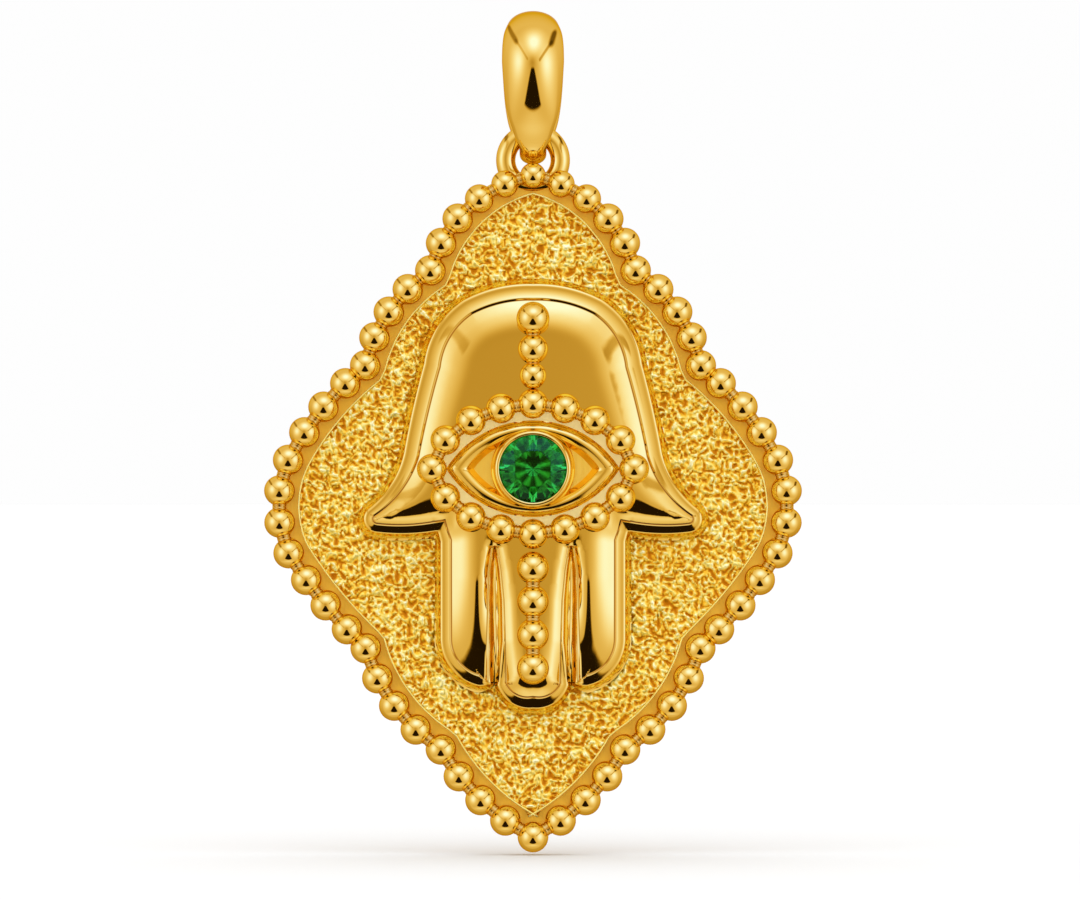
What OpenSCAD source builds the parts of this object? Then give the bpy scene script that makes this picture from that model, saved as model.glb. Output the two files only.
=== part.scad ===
// Evil eye pendant: a raised hand with an eye on a bead-edged plate, hung from a bail.
// The front faces -Y and up is +Z, in millimetres. The origin is the inside top of the
// bail, where a chain carries it. Flat pieces are drawn in their own front view, with x to
// the right, y up and z towards the front, and facing() stands them up.

/* [Bail] */
// Inside height of the bail, from the chain to the top of the ring's wire
bail_reach = 4.1; // [3.8:0.1:4.6]
// Half the depth of the bail in side view, to the middle of the metal
bail_half_depth = 2.07; // [1.9:0.01:2.3]
// Radius of the bottom bend in side view, to the middle of the metal
bail_low_r = 0.98; // [0.94:0.01:1.05]
// Half the thickness of the metal at the bottom bend
bail_low_t = 0.46; // [0.4:0.01:0.48]
// Half the width of the metal at the bottom bend
bail_low_w = 0.61; // [0.5:0.01:0.62]

/* [Hanging ring] */
// Diameter of the ring's wire
ring_wire = 0.88; // [0.8:0.01:0.9]
// Inside diameter of the ring
ring_bore = 1.6; // [1.55:0.05:1.8]

/* [Plate and panel] */
// Thickness of the back plate
plate_t = 0.8; // [0.7:0.05:1]
// How far the plate runs out past the middles of the border beads
plate_lip = 0.3; // [0.1:0.05:0.4]
// Thickness of the textured panel
panel_t = 0.6; // [0.4:0.05:0.8]
// How far the panel stays inside the surface of the border beads
panel_margin = 0.17; // [0.05:0.01:0.3]

/* [Beads] */
// Largest diameter of a border bead
border_bead = 1.4; // [1.2:0.01:1.42]
// Diameter of the top border bead
top_bead = 1.16; // [1:0.01:1.2]
// Diameter of the thin neck that joins one bead to the next
neck_d = 0.5; // [0.4:0.01:0.6]
// Number of beads round the eye
eye_bead_count = 16; // [12:2:18]
// Diameter of a bead round the eye
eye_bead = 1.34; // [1.1:0.01:1.4]
// Diameter of a bead down the middle finger
finger_bead = 1.46; // [1.2:0.01:1.48]
// Number of beads down the middle finger
finger_bead_count = 4; // [3:1:4]

/* [Hand] */
// Thickness of the palm above the panel
palm_t = 0.9; // [0.7:0.05:1]
// Height of the hand's side wall above the panel
edge_h = 0.36; // [0.3:0.01:0.45]

/* [Eye] */
// Width of the eye from corner to corner
eye_w = 7.62; // [7:0.02:8]
// Height of the eye
eye_h = 4.24; // [4.2:0.02:4.6]
// Height of the middle of the eye below the chain
eye_drop = 19.8; // [19:0.1:20.4]
// Height of the eye's rim above the palm
frame_t = 0.78; // [0.6:0.02:1]
// Thickness of the floor inside the eye's rim
frame_floor = 0.3; // [0.2:0.02:0.4]
// Width of the eye's rim
frame_band = 0.42; // [0.3:0.02:0.5]

/* [Stone] */
// Diameter of the round stone
stone_d = 3.1; // [2.8:0.05:3.2]
// Height of the stone's girdle above the palm
stone_h = 1.14; // [1.1:0.02:1.4]

/* [Hidden] */
$fn = 48;

// Hairline between pieces that are soldered face to face
seam = 0.02;
// Larger than the part, for cutting away a half space
beyond = 60;
// Height of the swing axis, the middle of the ring's top wire
axis_z = -bail_reach - ring_wire / 2;
ring_mid_r = (ring_bore + ring_wire) / 2;
ring_z = axis_z - ring_mid_r;

// Heights of the faces towards the front, from the middle plane of the plate
plate_face = plate_t / 2;
panel_back = plate_face + seam;
panel_face = panel_back + panel_t;
hand_back = panel_face + seam;
palm_face = hand_back + palm_t;
on_palm = palm_face + seam;

// Columns of the outline tables: place, outward bow of the arc to the next row, and for
// the hand the spread of its side wall, the width of its sloping rim and how far the rim's
// inner edge stays below the palm
X = 0;
Z = 1;
BOW = 2;
WALL = 3;
RIM = 4;
DROP = 5;

// Right half of the line that the middles of the border beads follow
bead_line_rows = [
    [0, -6.50, 0.92],
    [4.66, -10.84, 0.50],
    [7.61, -15.14, 0.27],
    [11.05, -19.30, 0.49],
    [11.05, -23.68, 0.18],
    [7.59, -27.91, 0.52],
    [4.20, -32.48, 0.43],
    [0, -36.50, 0],
];

// Right half of the hand: crown, thumb, outer finger, groove and middle finger
hand_rows = [
    [0, -11.41, 0.21, 0.22, 0.75, 0.14],
    [3.14, -12.14, 0.38, 0.22, 0.75, 0.14],
    [4.95, -15.05, 0.05, 0.22, 0.75, 0.14],
    [5.86, -19.09, -0.27, 0.24, 0.70, 0.14],
    [7.50, -21.64, 0.32, 0.26, 0.42, 0.12],
    [7.18, -22.70, 0.11, 0.30, 0.42, 0.12],
    [4.32, -22.64, 0, 0.24, 0.46, 0.12],
    [4.20, -23.09, 0, 0.24, 0.50, 0.12],
    [4.20, -27.50, 0.49, 0.26, 0.50, 0.12],
    [2.45, -29.66, 0.03, 0.30, 0.50, 0.12],
    [1.91, -29.55, 0, 0.13, 0.32, 0.10],
    [1.93, -25.77, 0, 0.20, 0.22, 0.08],
    [1.89, -24.41, 0, 0.13, 0.20, 0.08],
    [1.73, -23.23, 0, 0.04, 0.14, 0.08],
    [1.55, -24.41, 0, 0.13, 0.20, 0.08],
    [1.43, -25.77, 0, 0.20, 0.22, 0.08],
    [1.40, -27.60, 0, 0.20, 0.26, 0.10],
    [1.62, -29.60, 0.35, 0.13, 0.44, 0.12],
    [0, -30.68, 0, 0.30, 0.55, 0.12],
];
// Longest step between two points of an outline
outline_step = 0.3;

// Where the border beads sit: bead, counted from the top, and its share of the line. They
// crowd a little at the line's inner corners
bead_shares = [
    [0, 0],
    [9, 0.307],
    [10, 0.338],
    [19, 0.671],
    [20, 0.702],
    [28, 1],
];
border_gaps = bead_shares[len(bead_shares) - 1][0];
// Largest radius of a border bead, as a share of the way to its farther neighbour: more than
// half, where neighbours run into each other
bead_crowd = 0.525;

// Rings of the hand's skin from the rim's inner edge down: share of the side wall outward,
// share of the rim inward, share of the way up the wall, and of the way up the rim
hand_rings = [
    [0, 1, 1, 1],
    [0, 0.34, 1, 0.46],
    [0, 0, 1, 0],
    [1, 0, 0, 0],
];
// The palm is level from this many rim widths inside its edge
palm_share = 1.55;

// How far the bail's edges lie inside its middle line, as a share of half the thickness
bail_edge = 0.6;
// Bail's sections: height, half the width in front and behind, half the thickness, and how
// far the half-round section has turned into an oval one
bail_rows = [
    [-5.30, bail_low_w, bail_low_w, bail_low_t, 1],
    [-5.20, bail_low_w, bail_low_w, bail_low_t, 1],
    [-4.86, 0.78, 0.80, 0.46, 1],
    [-4.45, 0.92, 1.01, 0.47, 1],
    [-3.90, 1.10, 1.17, 0.52, 0.9],
    [-3.05, 1.28, 1.30, 0.60, 0.4],
    [-1.50, 1.40, 1.40, 0.65, 0],
    [-0.80, 1.40, 1.40, 0.64, 0],
    [-0.32, 1.38, 1.38, 0.61, 0],
    [0.14, 1.32, 1.32, 0.55, 0],
    [0.50, 1.18, 1.18, 0.50, 0],
];
// The bail is pear-shaped in side view: its low bend ends this many degrees from straight
// down, a leg curves from there to its widest place, and half an oval closes the top. The
// pulls say how far each end of a leg keeps its direction
bail_low_end = 62;
bail_widest_z = -1.55;
leg_low_pull = 1.7;
leg_high_pull = 0.8;
// Steps of the bail's skin: over its round outside, along half the low bend, a leg and half
// the top
crown_steps = 10;
low_steps = 5;
leg_steps = 9;
high_steps = 9;

// Beads above the eye: height and diameter
palm_bead_rows = [
    [-13.0, 1.5],
    [-14.38, 1.36],
    [-15.58, 1.2],
];
// Path of the beads round the eye: half width, half height and the power of its curve
eye_path = [4.57, 2.94, 1.8];
finger_bead_top = -24.28;
finger_bead_pitch = 1.51;
// Share of a bead's radius that its middle stands above the face it is soldered to
bead_seat = 0.88;

// How far the sides of the eye's rim and of its recess lean over their height
frame_lean = 0.1;
recess_lean = 0.14;
// The rim is measured square to its side, so along and across the eye it takes more room
band_along = 2.1;
band_across = 1.4;
collar_d = stone_d + 0.7;

// Bezel from the seat round to the lip: distance outside the girdle, height above it
bezel_rows = [
    [0.20, -0.30],
    [0.19, 0],
    [0.14, 0.13],
    [0.04, 0.17],
    [-0.05, 0.12],
    [0.02, 0.06],
    [0.02, -0.02],
];
// How far the stone rests on its seat inside the girdle
seat_w = 0.14;

// Stone: corners round the table, shares of the radius for the table, for the corners
// between crown facets and for those between pavilion facets, and the depths as shares of
// the diameter. The middle corners lie where the main facets come out flat
facets = 8;
table_share = 0.56;
crown_mid = 0.8;
pavilion_mid = 0.3;
crown_depth = 0.135;
pavilion_depth = 0.35;
girdle_t = 0.05;
corner_share = cos(180 / facets);
// Radius share, height share, share of a corner's turn, and corners
stone_levels = [
    [table_share, crown_depth, 0.5, facets],
    [crown_mid, crown_depth * (1 - crown_mid * corner_share) / (1 - table_share), 0, facets],
    [1, 0, 0.5, 2 * facets],
    [pavilion_mid, -pavilion_depth * (1 - pavilion_mid * corner_share), 0, facets],
    [0.02, -pavilion_depth, 0.5, facets],
];
// Thin enough to count as a flat facet's edge
hair = 0.001;

gold = "goldenrod";
green = "seagreen";

// Points from one row to the next, without the last, with the other columns blended
function arc_points(a, b, step) =
    let (p = [a[X], a[Z]], q = [b[X], b[Z]], chord = norm(q - p), bow = a[BOW],
         count = max(1, ceil(chord / step)), along = (q - p) / chord, out = [-along[1], along[0]],
         r = bow == 0 ? 0 : (pow(chord / 2, 2) + bow * bow) / (2 * abs(bow)))
    [for (i = [0 : count - 1])
        let (t = i / count,
             lift = bow == 0 ? 0
                  : sign(bow) * (sqrt(r * r - pow((t - 0.5) * chord, 2)) - r + abs(bow)),
             at = p + along * t * chord + out * lift)
        concat(at, [for (c = [BOW : len(a) - 1]) a[c] + (b[c] - a[c]) * t])];

function half_outline(rows, step) =
    concat([for (i = [0 : len(rows) - 2]) each arc_points(rows[i], rows[i + 1], step)],
           [rows[len(rows) - 1]]);

function with_left_half(half) =
    concat(half, [for (i = [len(half) - 2 : -1 : 1])
        concat([-half[i][X]], [for (c = [Z : len(half[i]) - 1]) half[i][c]])]);

function unit(v) = v / norm(v);

// Way outward at a point of a closed clockwise outline, longer at corners so that the
// sides keep their distance
function outward(line, i) =
    let (n = len(line), p = [line[i][X], line[i][Z]],
         before = line[(i + n - 1) % n], after = line[(i + 1) % n],
         a = unit(p - [before[X], before[Z]]), b = unit([after[X], after[Z]] - p),
         na = [-a[1], a[0]], nb = [-b[1], b[0]])
    (na + nb) / max(1 + na * nb, 0.8);

function moved(line, shift) =
    [for (i = [0 : len(line) - 1]) [line[i][X], line[i][Z]] + outward(line, i) * shift[i]];

function same(value, line) = [for (p = line) value];

// Length run along a line of points up to each of them
function run_lengths(line) =
    [for (i = 0, s = 0; i < len(line);
          s = s + (i < len(line) - 1 ? norm(line[i + 1] - line[i]) : 0), i = i + 1) s];

function places_along(line, shares) =
    let (s = run_lengths(line), total = s[len(s) - 1],
         xs = [for (i = [0 : len(line) - 1]) [s[i], line[i][0]]],
         ys = [for (i = [0 : len(line) - 1]) [s[i], line[i][1]]])
    [for (share = shares) [lookup(total * share, xs), lookup(total * share, ys)]];

function even_places(line, count) = places_along(line, [for (k = [0 : count]) k / count]);

// Border: bead middles, clockwise from the top, and the outlines that follow them
bead_line = [for (p = half_outline(bead_line_rows, 0.05)) [p[X], p[Z]]];
border_half = places_along(bead_line, [for (k = [0 : border_gaps]) lookup(k, bead_shares)]);
border_beads = with_left_half(border_half);
border_r = [for (i = [0 : len(border_beads) - 1])
    let (n = len(border_beads), here = border_beads[i],
         before = norm(here - border_beads[(i + n - 1) % n]),
         after = norm(here - border_beads[(i + 1) % n]),
         from_top = min(i, n - i))
    min(lookup(from_top, [[0, top_bead], [3, border_bead]]) / 2, bead_crowd * max(before, after))];

edge_line = with_left_half(even_places(bead_line, 2 * border_gaps));
edge_r = [for (i = [0 : len(edge_line) - 1])
    let (n = len(edge_line), from_top = min(i, n - i) / 2)
    lookup(from_top, [[0, top_bead], [3, border_bead]]) / 2];
plate_outline = moved(edge_line, same(plate_lip, edge_line));
panel_outline = moved(edge_line, [for (r = edge_r) -r - panel_margin]);

// Beads round the eye, evenly spaced on the closed path
function eye_at(a) =
    let (c = cos(a), s = sin(a))
    [eye_path[0] * sign(c) * pow(abs(c), 2 / eye_path[2]),
     -eye_drop + eye_path[1] * sign(s) * pow(abs(s), 2 / eye_path[2])];
eye_beads_at = [for (i = [0 : eye_bead_count - 1])
    even_places([for (a = [0 : 2 : 360]) eye_at(90 - a)], eye_bead_count)[i]];

module facing() {
    rotate([90, 0, 0]) children();
}

module slab(outline, low, high) {
    translate([0, 0, low]) linear_extrude(high - low) polygon(outline);
}

// Neck on the line from one bead to the next, left short at both ends
module neck(p, q, p_short, q_short, h) {
    start = p + unit(q - p) * p_short;
    translate([start[0], start[1], h]) rotate([0, 90, atan2(q[1] - p[1], q[0] - p[0])])
        cylinder(h = norm(q - p) - p_short - q_short, d = neck_d);
}

// Height of the bead middles over the face that they are soldered to
function bead_middle(face, radii) = face + bead_seat * max(radii);

// Row of joined beads, cut flat where it is soldered to the face below
module beads(places, radii, face, closed) {
    h = bead_middle(face, radii);
    last = len(places) - (closed ? 1 : 2);
    difference() {
        union() {
            for (i = [0 : len(places) - 1])
                translate([places[i][0], places[i][1], h]) sphere(r = radii[i]);
            for (i = [0 : last])
                let (j = (i + 1) % len(places))
                    neck(places[i], places[j], radii[i] / 2, radii[j] / 2, h);
        }
        translate([0, 0, face - beyond / 2]) cube([2 * beyond, 2 * beyond, beyond], center = true);
    }
}

// Closed skin over rings of points that all have the same count: between flat ends, or
// round in a loop from the last ring to the first
module skin(rings, loop = false) {
    n = len(rings[0]);
    count = len(rings);
    ends = loop ? [] : [[for (i = [0 : n - 1]) i], [for (i = [n - 1 : -1 : 0]) (count - 1) * n + i]];
    sides = [for (k = [0 : count - (loop ? 1 : 2)], i = [0 : n - 1])
        let (j = (i + 1) % n, a = k * n, b = (k + 1) % count * n)
            each [[a + i, b + i, b + j], [a + i, b + j, a + j]]];
    polyhedron([for (ring = rings) each ring], concat(ends, sides), convexity = 8);
}

// Sections of the bail, clockwise: share across and share through the metal. One is flat
// inside with eased corners and half round outside, and one is oval
half_round = concat([[0.86, -0.94], [0.45, -1], [-0.45, -1], [-0.86, -0.94]],
    [for (k = [0 : crown_steps]) let (a = 180 - 180 * k / crown_steps)
        [cos(a), -bail_edge + (1 + bail_edge) * sin(a)]]);
oval = concat([for (k = [1 : 4]) [cos(-36 * k), sin(-36 * k)]],
    [for (k = [0 : crown_steps]) let (a = 180 - 180 * k / crown_steps) [cos(a), sin(a)]]);

// Places on the bail's middle line in front, as depth and height
bail_top_z = bail_rows[len(bail_rows) - 1][3];
function bail_low(turn) = [-bail_low_r * sin(turn), axis_z - bail_low_r * cos(turn)];
function bail_leg(t) =
    let (p = bail_low(bail_low_end), q = [-bail_half_depth, bail_widest_z],
         p_hand = p + leg_low_pull * [-cos(bail_low_end), sin(bail_low_end)],
         q_hand = q - [0, leg_high_pull], s = 1 - t)
    pow(s, 3) * p + 3 * s * s * t * p_hand + 3 * s * t * t * q_hand + pow(t, 3) * q;
function bail_high(turn) =
    [-bail_half_depth * cos(turn), bail_widest_z + (bail_top_z - bail_widest_z) * sin(turn)];

// Middle line from the bottom up the front, over the top and down the back
bail_front = concat(
    [for (k = [0 : low_steps - 1]) bail_low(bail_low_end * k / low_steps)],
    [for (k = [0 : leg_steps - 1]) bail_leg(k / leg_steps)],
    [for (k = [0 : high_steps]) bail_high(90 * k / high_steps)]);
bail_path = concat(bail_front,
    [for (k = [len(bail_front) - 2 : -1 : 1]) [-bail_front[k][0], bail_front[k][1]]]);

// Value in a column of the bail's sections at a height
function bail_at(z, column) = lookup(z, [for (row = bail_rows) [row[0], row[column]]]);

module bail() color(gold) skin([for (i = [0 : len(bail_path) - 1])
    let (n = len(bail_path), p = bail_path[i],
         along = unit(bail_path[(i + 1) % n] - bail_path[(i + n - 1) % n]), out = [-along[1], along[0]],
         half_w = bail_at(p[1], p[0] > 0 ? 2 : 1), half_t = bail_at(p[1], 3), turned = bail_at(p[1], 4))
    [for (k = [0 : len(oval) - 1])
        let (s = half_round[k] * (1 - turned) + oval[k] * turned)
        [half_w * s[0], p[0] + out[0] * half_t * s[1], p[1] + out[1] * half_t * s[1]]]], loop = true);

module hanging_ring() color(gold) facing() difference() {
    translate([0, ring_z, 0]) rotate_extrude() translate([ring_mid_r, 0]) circle(d = ring_wire);
    slab(moved(edge_line, same(plate_lip + seam, edge_line)), -plate_t, plate_t);
}

module back_plate() color(gold) facing() slab(plate_outline, -plate_face, plate_face);

module textured_panel() color(gold) facing() slab(panel_outline, panel_back, panel_face);

// The right half has the top and the bottom bead, and the left half's end necks meet them
module bead_border_right() color(gold) facing()
    beads([for (i = [0 : border_gaps]) border_beads[i]], [for (i = [0 : border_gaps]) border_r[i]],
          panel_back, false);

module bead_border_left() color(gold) facing() {
    first = border_gaps + 1;
    last = len(border_beads) - 1;
    h = bead_middle(panel_back, border_r);
    beads([for (i = [first : last]) border_beads[i]], [for (i = [first : last]) border_r[i]],
          panel_back, false);
    neck(border_beads[first], border_beads[border_gaps], border_r[first] / 2,
         border_r[border_gaps] + seam, h);
    neck(border_beads[last], border_beads[0], border_r[last] / 2, border_r[0] + seam, h);
}

module hamsa_hand() color(gold) {
    line = with_left_half(half_outline(hand_rows, outline_step));
    rings = [for (r = hand_rings)
        let (at = moved(line, [for (p = line) r[0] * p[WALL] - r[1] * p[RIM]]))
        [for (i = [0 : len(line) - 1])
            concat(at[i], [hand_back + r[2] * edge_h + r[3] * (palm_t - line[i][DROP] - edge_h)])]];
    palm_at = moved(line, [for (p = line) -palm_share * p[RIM]]);
    facing() skin(concat([[for (p = palm_at) concat(p, [palm_face])]], rings));
}

module palm_beads() color(gold) facing()
    beads([for (row = palm_bead_rows) [0, row[0]]], [for (row = palm_bead_rows) row[1] / 2],
          on_palm, false);

module finger_beads() color(gold) facing()
    beads([for (k = [0 : finger_bead_count - 1]) [0, finger_bead_top - k * finger_bead_pitch]],
          [for (k = [1 : finger_bead_count]) finger_bead / 2], on_palm, false);

module eye_beads() color(gold) facing()
    beads(eye_beads_at, same(eye_bead / 2, eye_beads_at), on_palm, true);

// Almond with straight or leaning sides, where two arcs meet in the corners
module almond(half_w, half_h, lean, low, high) {
    r = (half_w * half_w + half_h * half_h) / (2 * half_h);
    intersection_for (side = [-1, 1])
        translate([0, side * (r - half_h), low]) cylinder(h = high - low, r1 = r, r2 = r + lean);
}

module eye_frame() color(gold) facing() translate([0, -eye_drop, on_palm]) difference() {
    almond(eye_w / 2, eye_h / 2, -frame_lean, 0, frame_t);
    almond(eye_w / 2 - band_along * frame_band, eye_h / 2 - band_across * frame_band, recess_lean,
           frame_floor, frame_t + seam);
    translate([0, 0, frame_floor]) cylinder(h = frame_t, d = collar_d + 2 * seam);
    translate([0, 0, -seam]) cylinder(h = frame_t, d = stone_d / 2);
}

// Round setting with a collar at its foot and a lip over the stone's girdle
module bezel() color(gold) facing() translate([0, -eye_drop, on_palm]) rotate_extrude() {
    girdle = stone_d / 2;
    bore = girdle - seat_w;
    foot = frame_floor + seam;
    polygon(concat(
        [[bore, foot], [collar_d / 2, foot], [collar_d / 2, frame_t]],
        [for (row = bezel_rows) [girdle + row[0], stone_h + row[1]]],
        [[bore, stone_h - seam - 2 * pavilion_depth * seat_w]]));
}

module stone() color(green) facing() translate([0, -eye_drop, on_palm + stone_h]) hull() {
    cylinder(h = girdle_t, d = stone_d, $fn = 2 * facets);
    for (level = stone_levels)
        translate([0, 0, (level[1] > 0 ? girdle_t : 0) + level[1] * stone_d])
            rotate(level[2] * 360 / facets) cylinder(h = hair, d = level[0] * stone_d, $fn = level[3]);
}

bail();
hanging_ring();
back_plate();
textured_panel();
bead_border_right();
bead_border_left();
hamsa_hand();
palm_beads();
finger_beads();
eye_beads();
eye_frame();
bezel();
stone();
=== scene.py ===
import math

import bmesh
import bpy
import numpy as np
from mathutils import Matrix, Vector, noise


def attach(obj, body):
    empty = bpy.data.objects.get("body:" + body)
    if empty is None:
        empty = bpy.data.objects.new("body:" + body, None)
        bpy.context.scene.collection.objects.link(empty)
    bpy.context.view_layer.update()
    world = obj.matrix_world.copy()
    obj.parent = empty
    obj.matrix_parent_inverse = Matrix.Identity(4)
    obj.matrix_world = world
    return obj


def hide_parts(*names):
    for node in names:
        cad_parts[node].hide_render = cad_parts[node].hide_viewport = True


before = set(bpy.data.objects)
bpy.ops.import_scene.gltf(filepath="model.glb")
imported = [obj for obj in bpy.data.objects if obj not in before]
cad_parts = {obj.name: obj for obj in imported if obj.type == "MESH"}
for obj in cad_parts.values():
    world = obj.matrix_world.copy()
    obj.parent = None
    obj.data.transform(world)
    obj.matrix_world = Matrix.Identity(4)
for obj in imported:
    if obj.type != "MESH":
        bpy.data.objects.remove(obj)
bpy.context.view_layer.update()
print("stage: frame loaded,", len(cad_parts), "nodes")

# Pieces are drawn in millimetres in the front view: x to the right, y up, z towards the
# front. finishPiece stands them up and brings them to metres.

# heights towards the front, the same as in the solids, and how far up the eye's middle is
heights = {
    "plateFace": 0.4, "panelBack": 0.42, "panelFace": 1.02, "handBack": 1.04, "onPalm": 1.96,
    "eyeMiddle": -19.8,
}


class Signal:
    # one output of a node, so that shader maths can be written as an expression
    def __init__(self, bench, socket):
        self.bench, self.socket = bench, socket

    def maths(self, operation, first, second=0.0):
        return self.bench.add("ShaderNodeMath", {"operation": operation}, {0: first, 1: second})

    def __add__(self, other): return self.maths("ADD", self, other)
    def __radd__(self, other): return self.maths("ADD", other, self)
    def __sub__(self, other): return self.maths("SUBTRACT", self, other)
    def __rsub__(self, other): return self.maths("SUBTRACT", other, self)
    def __mul__(self, other): return self.maths("MULTIPLY", self, other)
    def __rmul__(self, other): return self.maths("MULTIPLY", other, self)
    def __truediv__(self, other): return self.maths("DIVIDE", self, other)
    def __pow__(self, other): return self.maths("POWER", self, other)
    def __abs__(self): return self.maths("ABSOLUTE", self)


class Bench:
    # adds nodes to one material or world
    def __init__(self, owner):
        owner.use_nodes = True
        self.tree = owner.node_tree

    def add(self, kind, settings=None, inputs=None, output=0):
        made = self.tree.nodes.new(kind)
        for key, value in (settings or {}).items():
            if key == "stops":
                ramp = made.color_ramp
                while len(ramp.elements) < len(value):
                    ramp.elements.new(0.5)
                for element, (place, colour) in zip(ramp.elements, value):
                    element.position, element.color = place, (*colour, 1)
            else:
                setattr(made, key, value)
        for key, value in (inputs or {}).items():
            if isinstance(value, Signal):
                self.tree.links.new(value.socket, made.inputs[key])
            else:
                made.inputs[key].default_value = value
        # the world's last node has no output
        return Signal(self, made.outputs[output]) if made.outputs else None

    def between(self, value, low, high):
        # 0 below low, 1 above high, smooth between
        return self.add("ShaderNodeMapRange", {"interpolation_type": "SMOOTHSTEP"},
                        {"Value": value, "From Min": low, "From Max": high,
                         "To Min": 0.0, "To Max": 1.0})

    def mixColour(self, mask, first, second):
        first, second = ((*c, 1) if isinstance(c, tuple) else c for c in (first, second))
        return self.add("ShaderNodeMix", {"data_type": "RGBA"}, {0: mask, 6: first, 7: second}, 2)


def startFinish(name, constants):
    # a material with its Principled shader, and its even values set on the sockets
    material = bpy.data.materials.new(name)
    bench = Bench(material)
    shader = bench.tree.nodes["Principled BSDF"]
    for key, value in constants.items():
        shader.inputs[key].default_value = value
    place = bench.add("ShaderNodeTexCoord", output="Object")
    return material, bench, shader, place


def feed(bench, shader, key, signal):
    bench.tree.links.new(signal.socket, shader.inputs[key])


def addNoise(bench, place, scale, detail, roughness):
    return bench.add("ShaderNodeTexNoise", None, {"Vector": place, "Scale": scale,
                                                  "Detail": detail, "Roughness": roughness})


# colour of gold seen at a glancing angle
goldEdge = (0.82, 0.60, 0.20, 1)

# Every gold has a cloud and a grain, each the scale, detail and roughness of a noise. Rough is
# its roughness and what cloud and grain add to it, and bump its strength and depth.
polishedLook = {"metal": 1.0, "colour": (0.96, 0.71, 0.155), "deep": (0.95, 0.69, 0.145),
                # crease: colour of the painted shade in creases and between beads
                "crease": (0.50, 0.19, 0.008), "rough": (0.035, 0.02, 0.015),
                "cloud": (260.0, 3.0, 0.55), "grain": (2600.0, 4.0, 0.6),
                "bump": (0.02, 0.00002), "cloudBump": 3}
texturedLook = {"metal": 0.55, "rough": (0.13, 0.08, 0.06), "cloud": (420.0, 2.0, 0.5),
                "grain": (5200.0, 3.0, 0.6), "bump": (0.35, 0.00003),
                # painted shade in the pits up to a painted highlight on the crests
                "shadeToHighlight": [(0.05, (0.62, 0.21, 0.003)), (0.30, (0.97, 0.53, 0.020)),
                          (0.53, (1.0, 0.74, 0.11)), (0.80, (1.0, 0.89, 0.27)),
                          (1.0, (1.0, 0.95, 0.48))]}
brushMarks = {"metal": 1.0, "stretch": (1.0, 1.0, 0.06), "grain": (9000.0, 3.0, 0.6),
              "cloud": (300.0, 3.0, 0.5), "blend": (0.3, 0.7), "bump": (0.5, 0.00002)}
satinLook = {**brushMarks, "colour": (0.98, 0.75, 0.105), "deep": (0.93, 0.63, 0.07),
             "rough": (0.28, 0.10, 0.16)}
# floor of the eye and of the border, with a painted glow for the light that the metal beside them
# throws there
recessLook = {**brushMarks, "colour": (1.0, 0.76, 0.12), "deep": (0.98, 0.70, 0.10),
              "rough": (0.32, 0.10, 0.16), "bounce": (1.0, 0.55, 0.07, 1), "bounceStrength": 0.2}
# face round the eye: its pale colour is a painted highlight and its glow painted light
eyeHighlightLook = {"metal": 0.1, "colour": (1.0, 0.94, 0.48), "deep": (1.0, 0.90, 0.42),
            "rough": (0.40, 0.0, 0.1), "cloud": (500.0, 2.0, 0.5), "grain": (7000.0, 3.0, 0.6),
            "bump": (0.2, 0.00002), "bounce": (1.0, 0.80, 0.36, 1), "bounceStrength": 0.22}


def makeGold(name, look):
    constants = {"Metallic": look["metal"], "Specular Tint": goldEdge}
    # a painted glow: emission that stands in for light thrown onto the surface
    if "bounce" in look:
        constants["Emission Color"] = look["bounce"]
        constants["Emission Strength"] = look["bounceStrength"]
    material, bench, shader, place = startFinish(name, constants)
    mask = cloud = addNoise(bench, place, *look["cloud"])
    if "stretch" in look:
        place = bench.add("ShaderNodeMapping", None, {"Vector": place, "Scale": look["stretch"]})
    grain = addNoise(bench, place, *look["grain"])
    if "blend" in look:
        mask = (0.5 * bench.between(cloud, *look["blend"])
                + 0.5 * bench.between(grain, *look["blend"]))
    if "shadeToHighlight" in look:
        # from painted shade in the pits of the nuggets to a painted highlight on their crests
        crest = bench.add("ShaderNodeAttribute", {"attribute_name": "crest"}, output=2)
        colour = bench.add("ShaderNodeValToRGB", {"stops": look["shadeToHighlight"]}, {"Fac": crest})
    else:
        colour = bench.mixColour(mask, look["deep"], look["colour"])
    if "crease" in look:
        # painted shade in creases, at the necks between beads and low in the grooves between
        # fingers
        crease = bench.add("ShaderNodeAttribute", {"attribute_name": "crease"}, output=2)
        colour = bench.mixColour(crease, colour, look["crease"])
    feed(bench, shader, "Base Color", colour)
    rough, cloudRough, grainRough = look["rough"]
    feed(bench, shader, "Roughness", rough + cloud * cloudRough + grain * grainRough)
    strength, depth = look["bump"]
    height = grain + cloud * look["cloudBump"] if "cloudBump" in look else grain
    bump = bench.add("ShaderNodeBump", None,
                     {"Strength": strength, "Distance": depth, "Height": height})
    feed(bench, shader, "Normal", bump)
    return material


stoneLook = {"colour": (0.03, 0.80, 0.10), "deep": (0.001, 0.03, 0.004), "ior": 1.60,
             "shine": (0.18, 0.75, 0.26, 1), "middle": -0.0198, "radius": 0.00155, "petals": 8,
             "petalEdge": (0.45, 0.75), "table": 0.52, "tableEdge": 0.03,
             "cloud": (1500.0, 4.0, 0.6), "cloudEdge": (0.35, 0.7),
             "petalShare": 0.75, "cloudShare": 0.35, "darker": 0.05}


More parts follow.
